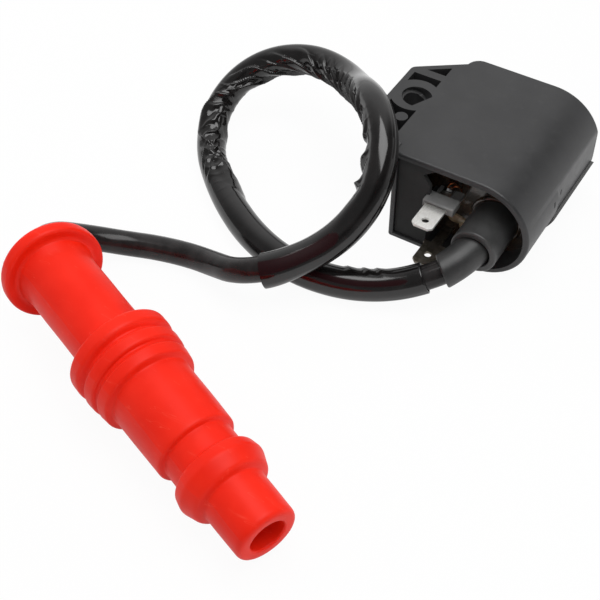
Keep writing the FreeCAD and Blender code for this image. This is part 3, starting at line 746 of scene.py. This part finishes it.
def softened(nodeName, material, slot, width):
    # the solid's own shape with its sharp edges rolled over; flat faces are joined first and so stay flat
    work = bmesh.new()
    work.from_mesh(nodes[nodeName].data)
    bmesh.ops.remove_doubles(work, verts=work.verts, dist=softSizes["sameCorner"] * mm)
    bmesh.ops.dissolve_limit(work, angle_limit=math.radians(softSizes["flatWithin"]), verts=work.verts,
                             edges=work.edges)
    mesh = bpy.data.meshes.new(nodeName + "Soft")
    work.to_mesh(mesh)
    work.free()
    mesh.polygons.foreach_set("use_smooth", [True] * len(mesh.polygons))
    piece = bpy.data.objects.new(nodeName + "Soft", mesh)
    bpy.context.scene.collection.objects.link(piece)
    bevel = piece.modifiers.new("edges", "BEVEL")
    bevel.width = width * mm
    bevel.segments = softSizes["segments"]
    bevel.limit_method = "ANGLE"
    bevel.angle_limit = math.radians(softSizes["sharpOver"])
    bevel.use_clamp_overlap = True
    bevel.miter_outer = "MITER_ARC"
    weigh = piece.modifiers.new("shading", "WEIGHTED_NORMAL")
    weigh.keep_sharp = True
    bpy.context.view_layer.update()
    finished = bpy.data.meshes.new_from_object(piece.evaluated_get(bpy.context.evaluated_depsgraph_get()))
    piece.modifiers.clear()
    piece.data = finished
    piece.data.materials.clear()
    piece.data.materials.append(material)
    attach(piece, "root")
    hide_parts(nodeName)


housingMarks = {
    # all in mm on the flat of the round side: middle and half size along y, then along z
    # two slits, painted near black as the shade inside them
    "slitShade": [((-7.0, 0.32), (17.4, 0.8)), ((-0.7, 0.32), (16.9, 0.8))],
    "speck": ((-17.2, 0.18), (22.8, 0.25)),
    "sideFrom": (19.0, 19.3),  # x over which they show
    "railFrom": (17.5, 18.0),  # x over, z under and y behind which the low rail is painted
    "railUnder": (10.05, 10.3),
    "railBehind": (-6.0, -5.0),
    "railPaler": 0.8,          # share of the paint, and the roughness it adds: nought leaves the rail plain
    "railDuller": 0.3,
}


def housingMaterial():
    # satin moulding with a faint bloom, fine grain and handling scuffs, a speck, and two slits painted near
    # black as the shade inside them; the low rail is painted paler and duller, to make up for the little light
    # that it gets
    material, start = newMaterial("housingPlastic")
    scaled = millimetres(start)
    cloud = noise(start, scaled, 0.06, 5.0, {"Roughness": 0.6})
    bloom = noise(start, scaled, 0.35, 4.0, {"Distortion": 0.4})
    grain = noise(start, scaled, 4.5, 3.0)
    streak = noise(start, stretched(start, scaled, (1.4, 0.08, 1.0), (0.0, 0.0, 0.5)), 1.1, 5.0)
    tone = mixColour(start, cloud.step(0.3, 0.7), colour(0.021, 0.021, 0.022), colour(0.030, 0.030, 0.031))
    tone = mixColour(start, bloom.step(0.55, 0.8) * 0.35, tone, grey(0.045))
    tone = mixColour(start, streak.step(0.66, 0.80) * 0.25, tone, grey(0.06))
    x, y, z = start.node("SeparateXYZ", {}, {"Vector": scaled}).outputs("X", "Y", "Z")
    onSide = x.step(*housingMarks["sideFrom"])
    # mask of the painted shade inside the two slits
    slitShade = 0
    for besideY, besideZ in housingMarks["slitShade"]:
        slitShade = slitShade + y.inside(*besideY, 0.1) * z.inside(*besideZ, 0.2)
    besideY, besideZ = housingMarks["speck"]
    speck = y.inside(*besideY, 0.15) * z.inside(*besideZ, 0.2)
    under = 1 - z.step(*housingMarks["railUnder"])
    rail = x.step(*housingMarks["railFrom"]) * under * y.step(*housingMarks["railBehind"])
    tone = mixColour(start, rail * housingMarks["railPaler"], tone, colour(0.15, 0.15, 0.148))
    # painted shade: the slits made near black
    tone = mixColour(start, slitShade * onSide, tone, grey(0.001))
    tone = mixColour(start, speck * onSide, tone, colour(0.35, 0.35, 0.34))
    rough = 0.40 + (cloud - 0.5) * 0.16 + (bloom - 0.5) * 0.12 + (grain - 0.5) * 0.10
    rough = rough + slitShade * onSide * 0.5 + rail * housingMarks["railDuller"]
    bump = bumped(start, 0.22, 0.02, grain + bloom * 1.5)
    useSurface(start.node("BsdfPrincipled", {}, {"Base Color": tone, "Roughness": rough, "Normal": bump}))
    return material


def bladeMaterial():
    # bright tin with fine lengthwise scratches, darker and pitted towards the block
    material, start = newMaterial("bladeTin")
    scaled = millimetres(start)
    y = start.node("SeparateXYZ", {}, {"Vector": scaled}).outputs("Y")[0]
    scratch = noise(start, stretched(start, scaled, (5.0, 0.8, 5.0), (0.0, 0.0, 0.5)), 1.0, 5.0)
    pit = noise(start, scaled, 3.0, 3.0)
    towardsBlock = y.step(-29.0, -25.5)        # mm, from the bright tip to the block
    tone = mixColour(start, scratch.step(0.35, 0.65), colour(0.86, 0.85, 0.82), colour(0.99, 0.98, 0.96))
    tone = mixColour(start, towardsBlock * (0.35 + pit.step(0.45, 0.60) * 0.45), tone, colour(0.24, 0.23, 0.21))
    rough = 0.60 - towardsBlock * 0.15 + (scratch - 0.5) * 0.2
    bump = bumped(start, 0.2, 0.03, scratch + pit * towardsBlock)
    useSurface(start.node("BsdfPrincipled", {}, {"Base Color": tone, "Roughness": rough, "Normal": bump,
                                                 "Metallic": 1.0}))
    return material


softPieces = {
    # finish, slot and width of the rolled edges in mm
    "housing": (housingMaterial(), "black_plastic", 0.35),
    "front_plate": (materials["plateBlack"], "black_plastic", 0.2),
    # the terminal block's black plastic carries painted light
    "terminal_block": (materials["blockPaintedLight"], "black_plastic", 0.25),
    "hv_tower": (materials["towerPlastic"], "black_plastic", 0.3),
    "primary_terminal": (bladeMaterial(), "tinned_brass", 0.12),
    # the lower terminal: tin with painted shade
    "ground_terminal": (materials["paintedShadeTin"], "tinned_brass", 0.12),
}
for nodeName, softness in softPieces.items():
    softened(nodeName, *softness)
print("housing, tower and terminals softened")


capSizes = {
    # all in mm; stations run along the cap's axis from the wire end
    "end": (-83.6, -95.0, 16.8),
    "yaw": -22.3,              # degrees
    "dip": 3.67,
    "length": 98.6,
    "leadBore": 3.55,
    "mouth": 4.7,
    "mouthDepth": 30.6,
    "chamber": 3.6,            # radius of the hole at the mouth's floor
    "around": 224,
    "longestRun": 0.9,
    "cornerSteps": 7,
    "seamTurn": 2.60,          # radians round the axis
    "seamDrift": ((0.012, 5.0), (0.006, 1.3)),        # waves of it: radians, and mm for each radian of phase
    "seamHeight": 0.07,
    "seamHalf": 0.020,         # radians
    "uneven": 0.05,
    "unevenWaves": (21, 7, 9.0, 30.0),        # seed, how many, shortest and longest
    "insideUnder": 7.0,        # radius under which the skin is inside, and plain
    "lean": 8.5,               # degrees that the soft flange leans back, and the side to which it does
    "leanTurn": 2.06,
    "leanUntil": (6.0, 15.0),
}
capEnd, capMouth = capSizes["length"], capSizes["mouth"]
mouthFloor = capEnd - capSizes["mouthDepth"]
# outside of the cap as (station, radius) at its breaks, with the rounding of each
capBreaks = [
    (0.2, capSizes["leadBore"], 0.0), (0.2, 13.55, 2.0), (4.5, 13.6, 2.1), (4.1, 11.1, 0.9),
    (4.4, 10.25, 0.3), (5.3, 10.05, 0.5), (7.4, 9.6, 0.9), (35.1, 9.5, 0.4), (35.1, 13.85, 1.0),
    (39.0, 13.9, 0.9), (40.0, 12.2, 0.35), (41.1, 12.2, 0.35), (41.7, 13.7, 0.6), (44.9, 13.4, 0.6),
    (45.3, 12.3, 0.3), (46.2, 12.3, 0.3), (46.7, 13.1, 0.5), (49.9, 12.7, 0.5), (50.5, 11.0, 0.4),
    (70.1, 10.6, 0.7), (70.6, 9.2, 0.3), (76.6, 9.2, 0.3), (77.4, 11.0, 0.7), (80.6, 11.7, 0.7),
    (84.6, 10.2, 0.8), (85.3, 8.3, 0.4), (capEnd, 8.1, 1.9), (capEnd, capMouth, 0.7),
    (mouthFloor, capMouth, 0.3), (mouthFloor, capSizes["chamber"], 0.0),
]


def roundedProfile(breaks):
    # straight runs between the breaks, with each corner replaced by a curve that starts its rounding away
    t = np.linspace(0, 1, capSizes["cornerSteps"])[:, None]
    out = [np.array([breaks[0][:2]])]
    for before, here, after in zip(breaks[:-2], breaks[1:-1], breaks[2:]):
        a, b, c = (np.array(p[:2]) for p in (before, here, after))
        back, on = np.linalg.norm(a - b), np.linalg.norm(c - b)
        reach = min(here[2], 0.48 * back, 0.48 * on)     # under half a run, so that neighbours don't meet
        out.append(quadratic(b + (a - b) / back * reach, b, b + (c - b) / on * reach, t))
    out.append(np.array([breaks[-1][:2]]))
    return np.concatenate(out)


def fillRuns(profile, longest):
    # splits long straight runs so that the surface can carry its small unevenness
    out = [profile[:1]]
    for a, b in zip(profile[:-1], profile[1:]):
        pieces = max(1, int(math.ceil(np.linalg.norm(b - a) / longest)))
        t = np.linspace(0, 1, pieces + 1)[1:, None]
        out.append(a + (b - a) * t)
    return np.concatenate(out)


def capFrame():
    # the cap's wire end, its axis, and the level and upper directions across it
    yaw, dip = math.radians(capSizes["yaw"]), math.radians(capSizes["dip"])
    axis = np.array([math.cos(yaw) * math.cos(dip), math.sin(yaw) * math.cos(dip), -math.sin(dip)])
    side = np.array([-math.sin(yaw), math.cos(yaw), 0.0])
    return np.array(capSizes["end"]), axis, side, np.cross(axis, side)


def siliconeMaterial():
    # bright red moulded silicone: even colour with slight clouds, satin skin, pale rub marks, fine scratches
    material, start = newMaterial("redSilicone")
    scaled = millimetres(start)
    lengthwise = (0.0, 0.0, -math.radians(capSizes["yaw"]))
    cloud = noise(start, scaled, 0.09, 4.0)
    grain = noise(start, scaled, 3.0, 3.0)
    rub = noise(start, stretched(start, scaled, (0.12, 1.2, 1.2), lengthwise), 0.9, 4.0)
    scratch = noise(start, stretched(start, scaled, (0.10, 0.9, 0.9), lengthwise), 1.0, 1.0)
    tone = mixColour(start, cloud.step(0.3, 0.7), colour(0.80, 0.014, 0.003), colour(0.86, 0.020, 0.006))
    tone = mixColour(start, rub.step(0.64, 0.80) * 0.15, tone, colour(1.0, 0.16, 0.10))
    tone = mixColour(start, scratch.inside(0.72, 0.006, 0.006) * 0.16, tone, colour(1.0, 0.20, 0.13))
    rough = 0.42 + (cloud - 0.5) * 0.12 + (grain - 0.5) * 0.12
    bump = bumped(start, 0.2, 0.03, grain + cloud * 2.0)
    useSurface(start.node("BsdfPrincipled", {}, {"Base Color": tone, "Roughness": rough, "Normal": bump,
                                                 "Specular IOR Level": 0.18}))
    return material


def buildCap():
    # the profile turned about the axis, with a ragged parting line along two sides, a soft unevenness of the
    # skin, and the flange slid back along the axis on one side
    sizes = capSizes
    profile = fillRuns(roundedProfile(capBreaks), sizes["longestRun"])
    turn = turnsOf(sizes["around"])
    s, r = profile[:, 0][:, None], profile[:, 1][:, None]
    outside = r > sizes["insideUnder"]
    drift = sizes["seamTurn"] + sum(share * np.sin(s / length) for share, length in sizes["seamDrift"])
    seam = sum(np.exp(-(wrapped(turn - drift - half) / sizes["seamHalf"]) ** 2) for half in (0.0, math.pi))
    uneven = waves(*sizes["unevenWaves"], s, r * np.cos(turn), r * np.sin(turn))
    radius = r + outside * (sizes["seamHeight"] * seam + sizes["uneven"] * uneven)
    end, axis, side, up = capFrame()
    leaning = math.tan(math.radians(sizes["lean"])) * (1 - smoothStep(*sizes["leanUntil"], s))
    s = s - leaning * r * np.cos(turn - sizes["leanTurn"])
    ring = ringsOf(side[None, :], up[None, :], turn)
    points = (end + axis * s[..., None] + ring * radius[..., None]) * mm
    # the last faces run back through the cap to the wire end and close the skin
    closing = bandFaces(0, (len(profile) - 1) * sizes["around"], sizes["around"])
    faces = np.concatenate([gridFaces(len(profile), sizes["around"]), closing])
    piece = putMesh("plugCap", points, faces, siliconeMaterial())
    turnOutwards(piece)
    return piece


cap = buildCap()
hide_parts("cap_boot")
print("cap made:", len(cap.data.polygons), "faces")


finishes = {
    "solder_joint": "solder", "potting_resin": "pottingResin", "hv_spike": "tinPlate",
    "core_laminations": "coreSteel", "primary_bobbin": "bobbinNylon", "primary_winding": "copper",
    "primary_wires": "copper", "secondary_bobbin": "bobbinNylon", "secondary_winding": "copper",
    "ht_wire": "copper", "lead_conductor": "copper", "cap_body": "capThermoset", "cap_wire_screw": "tinPlate",
    "cap_resistor": "ceramic", "cap_spring": "springSteel", "cap_contact_clip": "tinPlate",
}
for nodeName, finish in finishes.items():
    mesh = nodes[nodeName].data
    mesh.materials.clear()
    mesh.materials.append(materials[finish])
print("finishes given to", len(finishes), "solids")

trimSizes = {
    # all in mm
    "face": -16.4,             # y of the potted face
    "sunk": 0.1,               # how far a bead's rim lies in it
    "tower": (8.0, 13.5),      # x and z of the tower's middle
    "meniscusRadius": 6.9,
    "meniscusThick": 0.75,
    "meniscusFlat": 0.8,       # its height over its width
    "tailRadius": 0.28,
    # beads: middle x and z on the face, half sizes across, out of the face and up
    "beads": [(-3.7, 8.5, 2.9, 1.1, 1.9), (-1.3, 6.6, 1.7, 0.9, 1.3), (0.9, 12.1, 0.9, 0.6, 0.9)],
    # winding tails: from the face, the point that they bend towards, and the solder joint
    "tails": [((-3.0, -16.2, 18.4), (-3.2, -18.8, 23.4), (-5.7, -18.0, 19.7)),
              ((-4.4, -16.2, 19.6), (-5.0, -19.0, 24.2), (-6.6, -18.3, 19.8))],
}


def buildBead(number, x, z, across, out, tall):
    # a low dome on the potted face: an ellipse that grows with the sine while it falls with the cosine, with
    # an outline that swells by a tenth twice and by less three times round
    rings, around = 16, 40
    turn = turnsOf(around)
    fall = np.linspace(0.02, 1.0, rings)[:, None] * math.pi / 2
    uneven = 1 + 0.10 * np.sin(2 * turn + number * 2.1) + 0.07 * np.sin(3 * turn + number)
    reachOut = np.sin(fall) * uneven
    y = trimSizes["face"] + trimSizes["sunk"] - out * np.cos(fall) + 0 * turn
    points = np.stack([x + across * reachOut * np.cos(turn), y, z + tall * reachOut * np.sin(turn)], -1) * mm
    faces = gridFaces(rings, around)
    piece = putMesh("resinBead" + str(number), points, faces, materials["curedBead"])
    turnOutwards(piece, fillHoles=True)


def buildTail(number, start, bend, end):
    # a thin wire along one curve, made of rings square to it
    rings, around = 28, 16
    start, bend, end = (np.array(place) for place in (start, bend, end))
    middle = quadratic(start, bend, end, np.linspace(0, 1, rings)[:, None])
    tangent = unit(np.gradient(middle, axis=0))
    side = unit(np.cross(tangent, [1.0, 0.3, 0.0]))
    ring = ringsOf(side, np.cross(side, tangent), turnsOf(around))
    points = (middle[:, None, :] + ring * trimSizes["tailRadius"]) * mm
    faces = gridFaces(rings, around)
    piece = putMesh("windingTail" + str(number), points, faces, materials["copper"])
    turnOutwards(piece, fillHoles=True)


def buildMeniscus():
    # resin that crept up the tower while it was liquid: a flattened ring of uneven thickness
    rings, around = 96, 20
    x, z = trimSizes["tower"]
    along = turnsOf(rings).T
    section = turnsOf(around)
    thick = trimSizes["meniscusThick"] * (1 + 0.25 * np.sin(along * 3.0 + 1.0) + 0.12 * np.sin(along * 7.0))
    reachOut = trimSizes["meniscusRadius"] + thick * np.cos(section)
    y = trimSizes["face"] - thick * trimSizes["meniscusFlat"] * np.sin(section)
    points = np.stack([x + reachOut * np.cos(along), y, z + reachOut * np.sin(along)], -1) * mm
    faces = gridFaces(rings + 1, around) % (rings * around)      # the last ring is the first
    turnOutwards(putMesh("towerMeniscus", points, faces, materials["pottingResin"]))


for number, bead in enumerate(trimSizes["beads"], 1):
    buildBead(number, *bead)
for number, tail in enumerate(trimSizes["tails"], 1):
    buildTail(number, *tail)
buildMeniscus()
print("resin trim made")

print("done")
